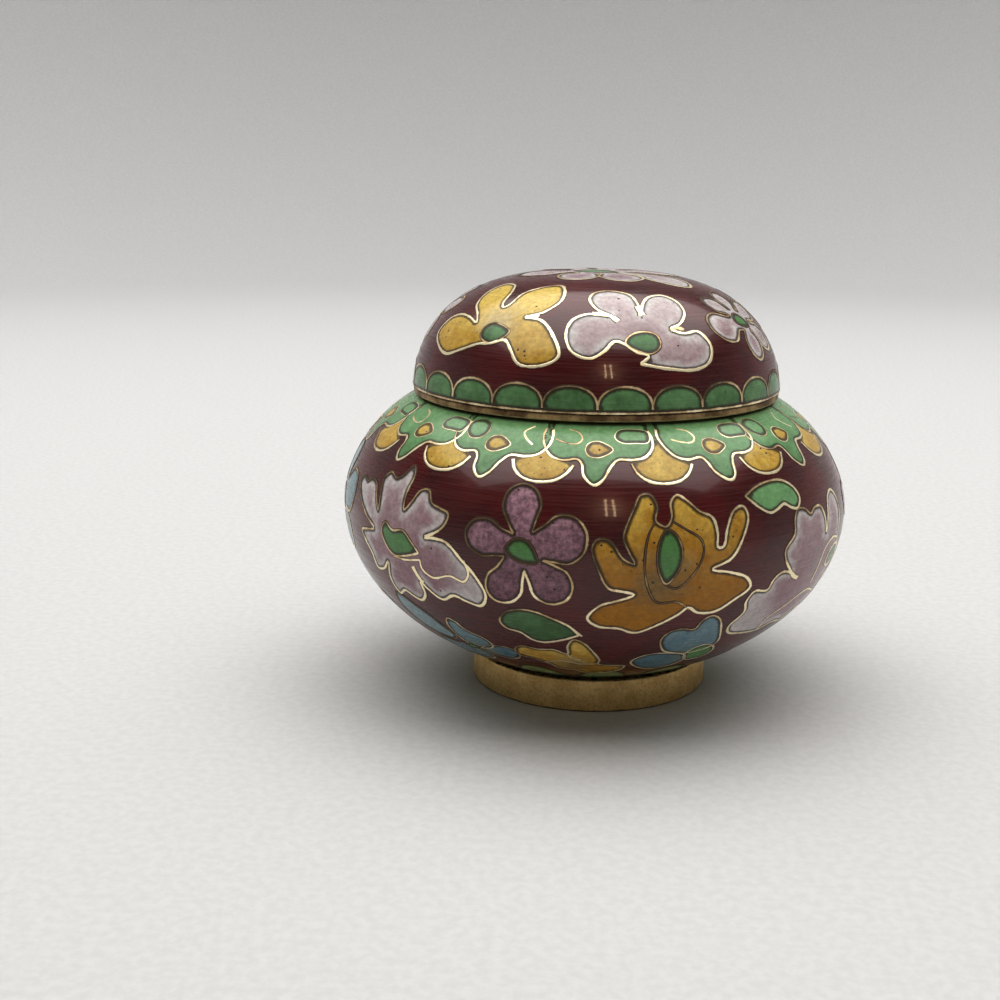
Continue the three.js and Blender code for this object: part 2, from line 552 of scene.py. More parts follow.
def ground_enamel():
    """The dark red ground, with fine polishing lines round the jar, and a ragged dark band just above the foot
    ring that is grime with painted shade of the joint.
    """
    look = Look("dark_red_enamel")
    place = look.place()
    lines = look.noise(streaked_place(look, 0.1, 4.0), 1.0, 3.0, 0.6)
    cloud = look.noise(place, 0.16, 3.0)
    base = look.mix(look.between(cloud, 0.3, 0.7), (0.1, 0.006, 0.005), (0.055, 0.005, 0.006))
    base = look.mix(look.between(lines, 0.35, 0.75, 0.0, 0.22), base, (0.12, 0.018, 0.014))
    # A ragged dark band just above the foot ring: grime with painted shade of the joint.
    ragged = look.maths("MULTIPLY_ADD", look.noise(place, 0.9), -0.9, look.value("along"))
    base = look.mix(look.between(ragged, -0.5, -0.15, 0.95, 0.0), base, (0.012, 0.008, 0.005))
    hole = pitted(look, 0.64)
    look.set(
        Base_Color=look.mix(hole, base, (0.012, 0.006, 0.005)),
        Roughness=look.between(lines, 0.3, 0.75, 0.2, 0.38),
        Normal=look.bump(look.maths("SUBTRACT", lines, hole), 0.005),
        Coat_Weight=0.4,
        Coat_Roughness=0.05,
        IOR=1.5,
    )
    return look.material


def lining_enamel():
    """The plain turquoise enamel inside the jar and the lid and under the base."""
    look = Look("lining_enamel")
    cloud = look.noise(look.place(), 0.3, 4.0)
    base = look.mix(look.between(cloud, 0.3, 0.7), (0.03, 0.22, 0.3), (0.05, 0.3, 0.38))
    hole = pitted(look, 0.45)
    look.set(
        Base_Color=look.mix(hole, base, (0.01, 0.05, 0.06)),
        Roughness=look.between(cloud, 0.3, 0.7, 0.18, 0.3),
        Normal=look.bump(look.maths("SUBTRACT", cloud, hole), 0.05),
    )
    return look.material


def wire_brass():
    """Bright ground brass along the top of a wire, dark where it meets the enamel, tarnished in places."""
    look = Look("inlay_wire")
    place = look.place()
    worn = look.maths("MULTIPLY_ADD", look.noise(place, 0.2, 5.0, 0.65), 1.8, -0.9)
    worn = look.maths("SUBTRACT", worn, look.value("polish"))
    base = look.mix(look.between(worn, -0.7, -0.4), (1.0, 0.88, 0.62), (0.62, 0.46, 0.27))
    base = look.mix(look.between(worn, -0.45, -0.1), base, (0.2, 0.13, 0.07))
    flank = look.maths("MULTIPLY_ADD", look.noise(place, 2.6, 4.0, 0.7), 0.6, look.value("flank"))
    flank = look.maths("MULTIPLY_ADD", look.between(worn, -0.7, -0.1), 0.4, flank)
    side = look.between(flank, 0.85, 1.1)
    look.set(
        Base_Color=look.mix(side, base, (0.05, 0.03, 0.014)),
        Roughness=look.between(worn, -0.7, -0.2, 0.3, 0.5),
        Metallic=look.between(side, 0.0, 1.0, 0.65, 0.1),
        Normal=look.bump(look.noise(place, 3.0, 3.0), 0.02),
    )
    return look.material


def worn_brass(name, bright, dull, speckle, grime_and_shade_height, edge_height, edge_tone):
    """Dull rubbed brass with fine grain, dark pits and turning lines, a dark band above a height that is grime
    with painted shade of the joint, and its low edge of another tone."""
    look = Look(name)
    place = look.place()
    cloud = look.noise(place, 0.35, 5.0, 0.65)
    base = look.mix(look.between(cloud, 0.35, 0.65), bright, dull)
    fine = look.noise(place, 3.5, 4.0, 0.7)
    base = look.mix(look.between(fine, 0.45, 0.7, 0.0, 0.45), base, (0.2, 0.13, 0.05))
    spots = look.noise(look.place((1, 1, 1.8)), 0.9, 5.0, 0.7)
    spot = look.between(spots, speckle, speckle + 0.05)
    height = look.node("ShaderNodeSeparateXYZ", {0: place}).outputs[2]
    edge = look.maths("MULTIPLY_ADD", look.noise(place, 0.6, 4.0), 0.3, height)
    low_edge = look.between(edge, edge_height + 0.1, edge_height + 0.3, 0.9, 0.0)
    base = look.mix(low_edge, base, edge_tone)
    # A dark band above the given height: grime with painted shade of the joint.
    ragged = look.maths("MULTIPLY_ADD", look.noise(place, 1.3, 4.0), 0.9, height)
    spot = look.maths("MAXIMUM", spot, look.between(ragged, grime_and_shade_height + 0.45, grime_and_shade_height + 0.6))
    turning = look.noise(streaked_place(look, 0.2, 4.0), 1.0, 4.0, 0.7)
    relief = look.maths("SUBTRACT", look.maths("MULTIPLY", turning, 0.5), spot)
    look.set(
        Base_Color=look.mix(spot, base, (0.03, 0.018, 0.008)),
        Roughness=look.between(cloud, 0.3, 0.7, 0.42, 0.6),
        Metallic=look.between(spot, 0.0, 1.0, 0.75, 0.1),
        Normal=look.bump(relief, 0.03),
    )
    return look.material


def pale_floor():
    """The plain pale floor and backdrop."""
    look = Look("pale_floor")
    place = look.node("ShaderNodeTexCoord").outputs["Object"]
    grain = look.between(look.noise(place, 900.0, 3.0), 0.3, 0.7)
    look.set(Base_Color=look.mix(grain, (0.56, 0.56, 0.562), (0.6, 0.6, 0.602)), Roughness=0.9)
    return look.material


GROUND = ground_enamel()
LINING = lining_enamel()
WIRE = wire_brass()
GREEN = "enamel_green"
YELLOW = "enamel_yellow"
PINK = "enamel_pink"
PURPLE = "enamel_purple"
BLUE = "enamel_blue"
ENAMELS = {
    GREEN: enamel(GREEN, (0.2, 0.38, 0.18), (0.055, 0.13, 0.045), (0.1, 0.25, 0.08), (2, 5), 0.15, 0.62),
    YELLOW: enamel(YELLOW, (0.67, 0.5, 0.13), (0.36, 0.16, 0.004), (0.54, 0.44, 0.23), (0.5, 3.5), 0.18, 0.36,
                   deep_heart=(0.22, 0.14, 0.045)),
    PINK: enamel(PINK, (0.52, 0.44, 0.44), (0.31, 0.185, 0.21), (0.3, 0.22, 0.22), (0.5, 3), 0.18, 0.55,
                 rim=(0.6, 0.575, 0.565), tips=(6.5, 11)),
    PURPLE: enamel(PURPLE, (0.34, 0.21, 0.25), (0.15, 0.066, 0.09), (0.12, 0.07, 0.07), (0, 2), 0.5, 0.45),
    BLUE: enamel(BLUE, (0.22, 0.32, 0.35), (0.09, 0.18, 0.225), (0.2, 0.25, 0.22), (1, 4), 0.2, 0.6),
}


# Motifs.


class Picture:
    """The wires and enamel cells laid on one wall."""

    def __init__(self, name):
        self.name = name
        self.wires = Bundle()
        self.cells = {}

    def cell(self, lay, enamel_name, outline, layer=1, heart=(0, 0), shade=0.5, wired=True, polish=0.6,
             spread=1):
        bundle = self.cells.setdefault(enamel_name, Bundle())
        add_cell(bundle, lay, outline, layer, heart, shade, spread)
        if wired:
            add_wire(self.wires, lay, outline, True, WIRE_WIDTH if layer == 1 else FINE_WIRE, polish)

    def wire(self, lay, points, width=FINE_WIRE, polish=0.6):
        add_wire(self.wires, lay, smooth(points, False), False, width, polish)

    def build(self):
        self.wires.build(self.name + "_wires", [WIRE], "inlay_wire", sharp_angle=50)
        for enamel_name, bundle in self.cells.items():
            colour_name = enamel_name.split("_")[1]
            bundle.build(f"{self.name}_{colour_name}", [ENAMELS[enamel_name]], enamel_name)


def yellow_spray(picture, lay):
    """A four-petalled yellow flower with a green heart at its lower edge."""
    outline = smooth([
        (-2.4, -5.1), (-5, -6.1), (-7.7, -7), (-10, -6.4), (-12.1, -4.8), (-10.8, -2.6), (-8.5, -1.6),
        (-6.2, -1.8), (-4.5, -2.4), (-5.3, -1.1), (-6.9, 0.4), (-7.3, 3), (-5.9, 5.4), (-4, 5.5), (-2.8, 3.5),
        (-2.4, 1.2), (-1.8, 0.5), (-1.2, 1.2), (-0.9, 3.6), (0.5, 5.6), (2.3, 6.6), (3.7, 5.3), (4.9, 2.3),
        (4, 0.2), (2.2, -0.8), (4.3, -1.1), (6.5, -2.9), (8.4, -5.9), (7, -7), (4, -7.1), (2.3, -5.4),
        (1.1, -4.3), (-0.8, -4.9),
    ])
    heart = smooth([
        (-2.6, -4.2), (-2.6, -2.8), (-1.5, -2.1), (0.3, -2.5), (1.2, -3.1), (0.4, -4.3), (-0.9, -4.9),
    ])
    picture.cell(lay, YELLOW, outline, heart=(-1, -2.2), shade=0.2, polish=0.8, spread=1.2)
    picture.wire(lay, [(2.2, -0.8), (3, -0.6), (3.8, -0.7)], 0.8, 0.9)
    picture.cell(lay, GREEN, heart, layer=2, polish=0.25)


def pink_spray(picture, lay):
    """A four-petalled white and pink flower with a green heart and loose wire ends."""
    outline = smooth([
        (-2.2, -3.9), (-3.2, -3.6), (-4.6, -4.9), (-6.4, -5.8), (-8.3, -5), (-8.7, -3), (-7.6, -0.7),
        (-5.5, 0.4), (-3.2, 0.2), (-4.4, 1.3), (-4.8, 3.2), (-3.7, 5), (-1.8, 5.5), (0.1, 4.5), (0.6, 2.5),
        (0.6, 0.4), (1.2, 2.2), (2.4, 3.8), (4.2, 4.1), (5.9, 2.5), (6.3, 0.4), (5.2, -1.3), (3.8, -2),
        (5.3, -2.7), (7.4, -2.6), (8.9, -4.6), (8.3, -6.5), (6.3, -7.3), (3, -7.1), (-0.6, -6.4),
        (-0.6, -6.4), (0.5, -5.5), (-1, -4.9),
    ])
    heart = smooth([
        (-2, -3.8), (-1.3, -2.8), (0.3, -2.3), (1.8, -2.8), (2.1, -4.2), (0.9, -5.2), (-1, -4.7),
    ])
    picture.cell(lay, PINK, outline, heart=(0, -3), shade=0.3, polish=0.8)
    picture.cell(lay, GREEN, heart, layer=2, polish=0.25)
    picture.wire(lay, [(-5, 0.5), (-3.3, 0.3), (-2.3, -0.7)], 0.8, 0.9)
    picture.wire(lay, [(0.5, 1.8), (0.6, 1), (0.7, 0.2)], 1.0, 0.9)
    picture.wire(lay, [(3.7, -2.2), (4.6, -1.9), (5.5, -2.2)], 0.8, 0.5)


def rosette(enamel_name, petals, notches, eye_scale=1.0, waist=150):
    """A function that draws a flower of round petals with a green half-moon eye."""
    half_moon = (
        (-2.1, -0.2), (-1.5, 0.9), (-0.5, 1.3), (0.6, 0.95), (1.4, -0.15), (1.7, -1.3), (0.4, -1.45),
        (-1, -1.1),
    )

    def draw(picture, lay):
        picture.cell(lay, enamel_name, petalled(petals, notches, waist), polish=0.35)
        picture.cell(lay, GREEN, smooth(np.array(half_moon) * eye_scale), layer=2, polish=-0.1)

    return draw


PLUM_PETALS = (
    (18, 7.3, 5.2, 5.5), (97, 7.5, 5.0, 4.4), (168, 7.2, 5.0, 4.2), (242, 7.4, 5.0, 4.3),
    (309, 7.4, 4.8, 4.9),
)
PLUM_NOTCHES = ((66, 2.2), (125, 2.1), (202, 2.3), (274, 2.3), (337, 2.4))
PLUM_WAIST = 130
CROWN_PETALS = (
    (-112, 9.0, 6.0, 5.0), (-64, 9.4, 6.2, 5.4), (-30, 13.0, 8.0, 5.2), (18, 10.5, 7.0, 6.0),
    (72, 9.6, 6.4, 6.0), (124, 10.4, 7.0, 6.0), (190, 10.0, 6.8, 5.6),
)
ROUND_PETALS = (
    (15, 6.4, 4.8, 3.5), (72, 5.6, 4.2, 3.2), (127, 5.4, 3.8, 3.2), (187, 7.2, 5.2, 4.4),
    (262, 5.6, 4.4, 3.6), (318, 6.4, 4.8, 3.5),
)
plum = rosette(PURPLE, PLUM_PETALS, PLUM_NOTCHES, waist=PLUM_WAIST)
blue_plum = rosette(BLUE, PLUM_PETALS, PLUM_NOTCHES, waist=PLUM_WAIST)
pink_rosette = rosette(PINK, ROUND_PETALS, halfway(ROUND_PETALS, 2.1), 0.8)
purple_rosette = rosette(PURPLE, ROUND_PETALS, halfway(ROUND_PETALS, 2.1), 0.8)
crown_rosette = rosette(PINK, CROWN_PETALS, halfway(CROWN_PETALS, 3.6), 1.4)


def pink_lotus(picture, lay):
    """A jagged pink and white lotus with a green almond heart."""
    outline = smooth([
        (-11.6, 5), (-10.5, 5.6), (-9.4, 5.2), (-8.3, 5.8), (-6.9, 5.4), (-6, 3.8), (-5.1, 2.5), (-5.3, 4.4),
        (-5.6, 6.3), (-4.5, 7.3), (-3.1, 6.8), (-2.1, 7.3), (-0.9, 8.8), (-0.1, 7.7), (-0.4, 5.2),
        (-0.1, 3.5), (0.9, 4.7), (1.7, 6.1), (3, 6.4), (4, 5), (5.3, 4.6), (6.7, 4.1), (6.4, 2.7), (5, 1.6),
        (3.8, 1), (5.2, 1.1), (7, 0.9), (9, -0.8), (10.6, -2.5), (11.5, -4.8), (10.4, -6.5), (8.6, -6.2),
        (7.1, -5.7), (5, -6.7), (3.2, -5.6), (2.3, -4.8), (2.4, -6.5), (1.2, -7.8), (-0.2, -7.5), (-1.4, -7),
        (-3, -7.9), (-3.8, -6), (-3.2, -3.4), (-4.6, -4.7), (-6.4, -5), (-7, -3.3), (-8.3, -2), (-9.3, -0.8),
        (-7.6, -0.3), (-5.8, 0.2), (-8, 1.4), (-10.4, 3.2),
    ])
    heart = smooth([
        (-4, 0.4), (-3.2, 1.5), (-1.8, 0.8), (0.2, 1.1), (1.8, -0.1), (2.8, -1.1), (2.8, -1.1), (0.4, -1.9),
        (-1.9, -2.2), (-3.4, -1),
    ])
    fold = [(2.9, -1.9), (3.1, -3), (4.6, -3.8), (7.2, -3.1), (9, -3.5), (9.8, -2.3), (9.3, -0.9)]
    picture.cell(lay, PINK, outline, heart=(-1, -1), shade=0.8)
    picture.cell(lay, GREEN, heart, layer=2)
    picture.wire(lay, fold)
    picture.wire(lay, [(-1.8, -2.4), (0.4, -2.4), (2.9, -1.9)])
    picture.wire(lay, [(1.5, -3), (2, -4), (2.7, -4.9)], 0.75, 0.8)


def yellow_lotus(picture, lay):
    """A yellow lotus of six fingers round a green almond, with two wires that run round the almond."""
    outline = smooth([
        (-8.8, 1.2), (-8.1, 2.2), (-6.8, 2), (-5.4, 0.1), (-4.1, -0.5), (-4.8, 0.9), (-5.3, 2.4), (-4.8, 3.9),
        (-3.9, 5.6), (-3, 7.1), (-1.9, 7.1), (-1.3, 5.7), (-1.6, 4.2), (-0.5, 3.5), (0.2, 4.4), (0.3, 6.2),
        (1.1, 7), (2.2, 6.3), (3.6, 5), (5.1, 4.2), (5.6, 2.4), (5.6, 0.9), (6.3, 0.9), (6.9, 2.9), (7.9, 4.7),
        (9.2, 5.1), (9.8, 4), (9, 1.7), (7.4, -0.6), (5, -1.6), (7.3, -2.2), (9.8, -3.2), (10.5, -4.5),
        (8.4, -6), (6.2, -7.3), (4, -7.2), (2.6, -6.3), (1.7, -7.1), (-0.6, -8.7), (-3, -9.9), (-5, -9.1),
        (-7.3, -8.8), (-8.7, -7.5), (-7.6, -5.7), (-5.4, -4.9), (-3.9, -4.2), (-5.2, -3.8), (-6.8, -3.4),
        (-7.9, -1.6),
    ])
    heart = smooth([
        (-0.4, 3.2), (0.6, 2.6), (1.3, 0.8), (1, -1.2), (-0.4, -3), (-1.3, -1.6), (-1.6, 0.2), (-1.2, 2.2),
    ])
    left = [(-1.5, 4.3), (-2.5, 2.7), (-3, 0), (-2.6, -2.9), (-1.2, -5.3), (1.2, -5.4), (2.8, -6.6)]
    right = [(0.4, 4), (1.8, 3.1), (3.6, 1.8), (3.8, 0.2), (2.5, -2.3), (0.8, -3.6), (-0.6, -3)]
    picture.cell(lay, YELLOW, outline, heart=(-0.8, -2.4), shade=0.75, polish=0.5, spread=1.5)
    picture.cell(lay, GREEN, heart, layer=2, polish=0.25)
    picture.wire(lay, left, polish=0.1)
    picture.wire(lay, right, polish=0.0)


def broad_lotus(picture, lay):
    """A broad pink lotus of two tiers that reaches down towards the foot."""
    outline = smooth([
        (2, 5.5), (3.4, 5.4), (4.6, 4.6), (5.6, 5.1), (7.2, 5), (8.1, 3.6), (8.4, 1.6), (9, 3.4), (9.8, 5.6),
        (11.4, 6.2), (13, 4.9), (13.6, 2.4), (13.3, 0), (14.3, -1.8), (13.4, -4.2), (11.6, -5), (11.8, -7.4),
        (10, -9.3), (7.4, -9.2), (5.4, -10.6), (3, -10.2), (0.6, -11), (-2, -10.7), (-5, -9.8), (-5.8, -8.4),
        (-4.8, -6.2), (-5.3, -4.6), (-4.6, -3.3), (-2.5, -3.5), (-1.9, -2.2), (-0.6, -1.5), (0.8, -1.7),
        (-0.3, -0.3), (-0.7, 1.2), (0.9, 2.8), (1.2, 4.4),
    ])
    picture.cell(lay, PINK, outline, heart=(7, -2), shade=0.8)
    picture.cell(lay, GREEN, ellipse((12, -2), 2.0, 1.2, 20), layer=2)
    picture.wire(lay, [(0.8, -1.7), (1.8, -2.5), (2.8, -3)], 0.7, 0.8)
    picture.wire(lay, [(0.5, -10.8), (0.7, -8.6), (2.6, -7.5), (4.6, -6.4), (7.2, -5.8), (10, -6.8)])
    picture.wire(lay, [(7.2, -4.8), (7.6, -3.2), (8.6, -0.6), (11, 0.4), (13.2, 0)])


def leaf(picture, lay):
    """A short leaf with a point at the left and a notch below."""
    outline = smooth([
        (-4.1, 0.7), (-4.1, 0.7), (-2.2, 1.6), (0, 2), (2, 1.9), (3.8, 0.9), (4.6, -0.6), (3.8, -1.7),
        (2.6, -1.5), (1.5, -0.9), (0.3, -1.3), (-1, -1.6), (-2.4, -0.9),
    ])
    picture.cell(lay, GREEN, outline, heart=(4, 8), shade=0.15)


def long_leaf(picture, lay):
    """A longer leaf with a point at the right, where its wire stays open."""
    outline = smooth([
        (-4.9, -0.2), (-4.2, 1.3), (-2.6, 2), (-0.8, 2), (1.6, 1), (3.2, 0), (4.2, -1.5), (4.2, -1.5),
        (2, -2.7), (-0.2, -3.4), (-1.4, -3), (-2.6, -1.8), (-4.2, -1.3),
    ])
    picture.cell(lay, GREEN, outline, heart=(0, 9), shade=0.8)
    picture.wire(lay, [(3.2, 0), (4.1, -1.1), (4.5, -1.7)])


def low_yellow(picture, lay):
    """A yellow flower that the foot ring cuts off, seen from above its petals."""
    outline = smooth([
        (-5.8, 1.2), (-4.8, 1.8), (-3, 1.4), (-1.2, 1.6), (0.3, 0.7), (0.5, 2.8), (1.3, 4.2), (2.4, 3.5),
        (3.4, 1.3), (3.9, -0.7), (3.7, -2.2), (5.2, -2.6), (6.6, -2.8), (6.2, -4.4), (4.2, -6.2), (2.2, -6.6),
        (0.6, -5), (-1, -4.6), (-2.2, -2.8), (-4, -1.6), (-5.8, -0.8),
    ])
    picture.cell(lay, YELLOW, outline, layer=2, heart=(1, -2.5), shade=0.5)
    picture.wire(lay, [(0.3, 0.7), (0.8, -0.5), (1.8, -0.9)])
    picture.wire(lay, [(-2.6, -2.4), (-0.6, -1.5), (1.6, -2.3), (3.7, -2)])


def low_blue(picture, lay):
    """Two blue petals and a green one at the bottom of the body."""
    upper = smooth([
        (-3.6, 0.3), (-3, 1.7), (-1.6, 2.1), (0, 1.8), (0.6, 3.2), (1.7, 3.8), (2.9, 3.1), (3.9, 0.8),
        (4.5, -1.8), (3.8, -3), (1, -3.8), (-1, -3.2), (-2.4, -2.4),
    ])
    lower = smooth([
        (-5.3, -5.2), (-4.9, -3.9), (-3.6, -3.1), (-1.6, -3.2), (0.9, -4.2), (1.6, -5.8), (0.8, -8),
        (-1.6, -8.8), (-3.8, -7.4),
    ])
    small = smooth([(1, -4.2), (1.5, -2.8), (2.7, -2.1), (4.2, -2.7), (5, -4.4), (4.2, -6.2), (2.2, -6.4)])
    picture.cell(lay, BLUE, upper, layer=2, heart=(1, -5))
    picture.cell(lay, BLUE, lower, layer=2, heart=(2, -4))
    picture.cell(lay, GREEN, small, layer=3, heart=(2, -4), shade=0.1)


def blue_spray(picture, lay):
    """A blue flower low on the body: two broad pale petals at the left, a small pair and one at the right."""
    broad = smooth([
        (-10, 5.6), (-8.6, 5.4), (-6.6, 4.4), (-4.8, 3.2), (-3.4, 1.4), (-2.4, -0.4), (-3.6, -1.6),
        (-5.6, -1.4), (-7.6, -0.6), (-9.6, 1.6), (-10.6, 3.8),
    ])
    pair = smooth([
        (-1.6, 3.8), (-0.6, 3.4), (0.2, 2.2), (1.2, 1.6), (2.4, 0.8), (2.8, -0.6), (1.8, -1.8), (0, -2.2),
        (-1.4, -1.2), (-2.2, 0.8), (-2.2, 2.8),
    ])
    right = smooth([
        (0.8, -1.8), (2.2, -0.8), (4, -0.4), (5.6, -1), (5.2, -3), (3.6, -4.2), (1.8, -4), (0.6, -3),
    ])
    lower = smooth([
        (-6.4, -2), (-4, -2.4), (-1.4, -2.2), (0.4, -3.4), (0.6, -5.4), (-1.4, -7), (-4, -7.2), (-6, -5.4),
    ])
    for petal, shade in ((broad, 0.0), (lower, 0.2), (right, 0.7)):
        picture.cell(lay, BLUE, petal, layer=2, heart=(0, -3), shade=shade, polish=0.3)
    picture.cell(lay, BLUE, pair, layer=3, heart=(0, -3), shade=0.5)
    picture.cell(lay, GREEN, ellipse((-0.9, -2.3), 1.2, 0.8, 10), layer=4, shade=0.4, polish=0.2)


SCALLOP_FOOT = 0.4
SCALLOP_POWER = 0.8


def scallops(picture, wall, count, first_turn, base, height, polish):
    """A row of green half-round cells standing on a thin wire."""
    pitch = 360 / count
    half = math.radians(pitch) * wall.radius_at(base) / 2
    turns = np.linspace(0, np.pi, 15)
    rise = SCALLOP_FOOT + (height - SCALLOP_FOOT) * np.sin(turns) ** SCALLOP_POWER
    arch = np.column_stack([-half * np.cos(turns), rise])
    cell = evenly_ring(np.vstack([arch, [(0.9 * half, 0)], [(-0.9 * half, 0)]]))
    foot = np.array([(-half, 0), (half, 0)])
    for i in range(count):
        lay = on_wall(wall, first_turn + i * pitch, base)
        shade = 0.6 + 0.25 * noise.noise(Vector((i * 1.7, count, 0)))
        picture.cell(lay, GREEN, cell, heart=(0, 9), shade=shade, wired=False)
        add_wire(picture.wires, lay, evenly(arch, False), False, WIRE_WIDTH, polish)
        add_wire(picture.wires, lay, evenly(foot, False), False, FINE_WIRE, polish)


def lappet(picture, lay, lean, looped):
    """One green lappet of the collar with a leaning tail, two curls or a closed loop, and a ringed bead."""
    top = 4.9
    hem = [
        (-5.7, 3.6), (-6.1, 2.3), (-5.9, 0.6), (-5.2, -0.6), (-3.9, -1.1), (-2.2, -0.9), (-1.7, -1.6),
        (-1.5 + 0.4 * lean, -3), (-0.4 + lean, -4.1), (0.6 + 0.8 * lean, -3.5), (1.5 + 0.2 * lean, -1.8),
        (2.3, -0.9), (4, -0.9), (5.4, -0.5), (6.2, 0.8), (6.1, 2.3), (5.7, 3.4),
    ]
    outline = smooth(hem + [(5.6, top), (5.6, top), (0, top), (-5.6, top), (-5.6, top)])
    picture.cell(lay, GREEN, outline, layer=3, heart=(0, -9), shade=0.3, wired=False)
    picture.wire(lay, hem, WIRE_WIDTH)
    if looped:
        loop = [(-4.7, 3.2), (-4.6, 1.8), (-3.6, 0.9), (-2.3, 1.2), (-1.8, 2.4), (-2.3, 3.6), (-3.6, 3.9)]
        picture.cell(lay, GREEN, smooth(loop), layer=4, heart=(0, -9), shade=-0.1)
        picture.wire(lay, [(3.4, 3.8), (2.6, 2.7), (3.2, 1.7), (4.3, 0.8)])
    else:
        curl = [(5.7, 1.6), (4.2, 1.5), (2.7, 1.6), (2, 2.4), (2.4, 3.5), (4, 3.7), (5.6, 3.2)]
        picture.wire(lay, [(-4.7, 1.9), (-3.6, 1.4), (-2.3, 1.3), (-1.7, 2), (-2.1, 3.1), (-3.2, 3.6)])
        picture.cell(lay, GREEN, smooth(curl), layer=4, heart=(0, -9), shade=0.0)
    bead = [(-1.3, 0.5), (-0.9, 1.4), (0, 1.7), (0.9, 1.3), (1.7, 0.5), (0.8, -0.3), (-0.1, -0.6), (-1, -0.3)]
    picture.cell(lay, YELLOW, smooth(bead), layer=4, heart=(-9, 0.5), shade=0.4)


def half_disc(picture, lay):
    """The yellow half disc that shows between two lappets, and the green that joins them above it."""
    join = np.array([(-3.4, 5.2), (-3.4, 2.2), (0, 1.4), (3.4, 2.2), (3.4, 5.2)])
    bowl = [(-3.4, -1.4), (-3, -2.6), (-1.9, -3.6), (-0.1, -4), (1.8, -3.7), (3, -2.8), (3.6, -1.7)]
    outline = smooth(bowl + [(1.5, -0.4), (0.4, 1.6), (0, 2.6), (-0.4, 1.6), (-1.5, -0.4)])
    picture.cell(lay, GREEN, evenly_ring(join), layer=2, heart=(0, -7), shade=0.6, wired=False)
    picture.cell(lay, YELLOW, outline, layer=2, heart=(0, 9), shade=0.3, wired=False)
    picture.wire(lay, bowl, WIRE_WIDTH)


# The collar's lappets: five at the front as the hand set them, the rest evenly round the back.
FRONT_LAPPETS = (-50.4, -24.9, 1.0, 31.1, 57.4)
FRONT_LEANS = (-0.6, -0.2, 0.0, 0.9, 0.6)
LAPPETS = 13
COLLAR_LINE = 41.2


def draw_collar(picture, wall):
    first, last = FRONT_LAPPETS[0], FRONT_LAPPETS[-1]
    hidden = LAPPETS - len(FRONT_LAPPETS)
    gap = 360 - last + first
    turns = [*FRONT_LAPPETS, *(last + gap * (i + 1) / (hidden + 1) for i in range(hidden))]
    for i, (turn, following) in enumerate(zip(turns, turns[1:] + [first + 360])):
        lean = 0.9 * noise.noise(Vector((turn * 0.21, 1.3, 0))) if i > 4 else FRONT_LEANS[i]
        lappet(picture, on_wall(wall, turn, COLLAR_LINE), lean, i % 3 == 1)
        half_disc(picture, on_wall(wall, (turn + following) / 2, COLLAR_LINE))


# What is drawn on the body below the collar, its turn, its height along the wall, and True if it is
# mirrored. The photo shows those from -45 to 46 degrees. The others are spaced so that no two touch.
BODY_MOTIFS = (
    (pink_lotus, -43.2, 28.2), (plum, -13.5, 29.4), (yellow_lotus, 16.0, 28.85), (broad_lotus, 45.2, 26.9),
    (plum, 89.2, 29.4), (yellow_lotus, 123.2, 28.8), (pink_lotus, 167.6, 28.2, True), (plum, 206.6, 29.4),
    (yellow_lotus, 245.0, 28.6, True), (blue_plum, 281.0, 29.6),
    (leaf, 42.2, 34.3), (leaf, 104.0, 34.8), (leaf, 150.0, 34.8), (leaf, 262.5, 34.8),
    (long_leaf, -10.5, 19.9), (long_leaf, 86.5, 19.9), (long_leaf, 144.5, 19.9), (long_leaf, 186.0, 20.4),
    (long_leaf, 211.0, 19.9), (long_leaf, 272.0, 19.9),
    (low_yellow, -6.0, 13.3), (low_blue, 24.2, 17.1), (low_blue, 97.0, 14.4), (low_yellow, 127.0, 13.3),
    (low_blue, 162.0, 14.4), (low_yellow, 192.0, 13.3), (low_blue, 227.0, 14.4), (low_yellow, 257.0, 13.3),
    (low_blue, 292.0, 14.4), (blue_spray, -31.8, 14.5),
)
LID_MOTIFS = (
    (yellow_spray, -33.8, 12.4), (pink_spray, 15.0, 12.2), (pink_rosette, 64.5, 10.5),
    (purple_rosette, 108.0, 10.5), (yellow_spray, 167.0, 12.2), (pink_spray, 221.0, 12.2),
    (pink_rosette, 267.0, 10.5),
)


def draw_motifs(picture, wall, motifs):
    for draw, *where in motifs:
        draw(picture, on_wall(wall, *where))


# Pieces.


def build_shell(name, profile, lined, edge):
    """A thin shell of revolution. The profile's lined segments have the lining, and lengths along the profile
    are counted from the outside's lower edge."""
    bundle = Bundle()
    segments = revolved(bundle, profile)
    bundle.values["along"] = [bundle.values["along"][0] - edge]
    looks = [1 if segment in lined else 0 for segment in segments]
    return bundle.build(name, [GROUND, LINING], "enamel_ground", looks)


def build_vessel():
    outer = body_side(BODY_RADIUS, FOOT_HEIGHT, SEAT_RADIUS, SEAT_HEIGHT)
    inner = body_side(BODY_RADIUS - BODY_WALL, FOOT_HEIGHT + BODY_WALL, MOUTH_RADIUS, SEAT_HEIGHT - BODY_WALL)
    lip = [(MOUTH_RADIUS, SEAT_HEIGHT)]
    profile = np.vstack([[(0, FOOT_HEIGHT)], outer, lip, inner[::-1], [(0, FOOT_HEIGHT + BODY_WALL)]])
    lined = {0, *range(len(outer) + 2, len(profile))}
    vessel = build_shell("vessel_shell", profile, lined, BASE_RADIUS)
    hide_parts("vessel")
    return Wall(outer)


def build_lid():
    rise = LID_TOP - LID_BASE
    outer = dome_side(LID_RADIUS, rise)
    inner = dome_side(LID_RADIUS - LID_WALL, rise - LID_WALL)[::-1]
    lined = range(len(inner) - 1)
    lid = build_shell("lid_shell", np.vstack([inner, outer]), lined, Wall(inner).total + LID_WALL)
    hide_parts("lid")
    return Wall(outer)


